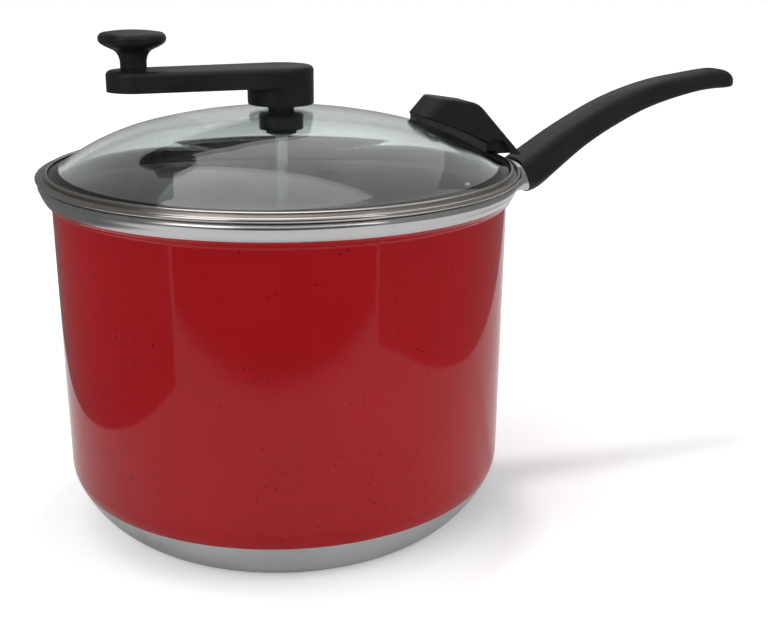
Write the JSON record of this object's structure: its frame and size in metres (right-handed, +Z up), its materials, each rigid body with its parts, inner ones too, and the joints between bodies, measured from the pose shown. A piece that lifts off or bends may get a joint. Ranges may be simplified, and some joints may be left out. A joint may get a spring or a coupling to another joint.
{
  "type": "stovetop popcorn popper",
  "caption": "Straight-sided enamelled pot with an arched side grip and a lift-off glass-domed lid whose hand crank turns a stirrer across the pot floor.",
  "frame": {"origin": "centre of the pot's flat underside", "axes": "+Z up along the crank's axis, +X along the handle away from the pot; the crank rests over -X"},
  "size_m": [0.3877, 0.2388, 0.2476],
  "materials": {
    "red_enamel": "glossy red enamel outside, bare satin aluminium inside, on the rim and on the base",
    "plain_aluminium": "satin",
    "polished_steel": "polished",
    "black_phenolic": "satin",
    "black_acetal": "smooth",
    "grey_silicone": "matt",
    "tempered_glass": "clear",
    "plain_brass": "machined",
    "plain_steel": "zinc plated"
  },
  "bodies": {
    "pot": {"pot_shell": "red_enamel", "handle_bracket": "plain_aluminium", "bracket_rivets": "plain_aluminium", "flame_guard": "polished_steel", "handle_grip": "black_phenolic", "handle_insert": "plain_brass", "handle_screw": "plain_steel"},
    "lid": {"lid_glass": "tempered_glass", "lid_rim_band": "polished_steel", "glass_edge_seal": "grey_silicone", "lid_bushing": "black_acetal", "bushing_nut": "black_acetal", "upper_glass_washer": "grey_silicone", "lower_glass_washer": "grey_silicone", "thumb_rest": "black_phenolic", "thumb_rest_pad": "grey_silicone", "thumb_rest_insert": "plain_brass", "thumb_rest_screw": "plain_steel", "thumb_rest_washer": "plain_steel"},
    "crank": {"crank_arm": "black_phenolic", "crank_insert": "plain_brass", "crank_shaft": "plain_steel", "shaft_thrust_washer": "black_acetal", "shaft_clip": "plain_steel", "stirrer_hub": "plain_aluminium", "hub_pin": "plain_steel", "stirrer_blades": "plain_steel", "stirrer_rivets": "plain_aluminium", "knob_washer": "black_acetal"},
    "knob": {"crank_knob": "black_phenolic", "knob_insert": "plain_brass", "knob_screw": "plain_steel"}
  },
  "joints": [
    {"name": "lid_lift", "type": "slide", "parent": "pot", "child": "lid", "axis": [0, 0, 1], "range_m": [0, 0.22]},
    {"name": "crank_turn", "type": "hinge", "parent": "lid", "child": "crank", "pos_m": [0, 0, 0.2107], "axis": [0, 0, 1], "continuous": true},
    {"name": "knob_spin", "type": "hinge", "parent": "crank", "child": "knob", "pos_m": [-0.0719, -0.00377, 0.2303], "axis": [0, 0, 1], "continuous": true}
  ]
}
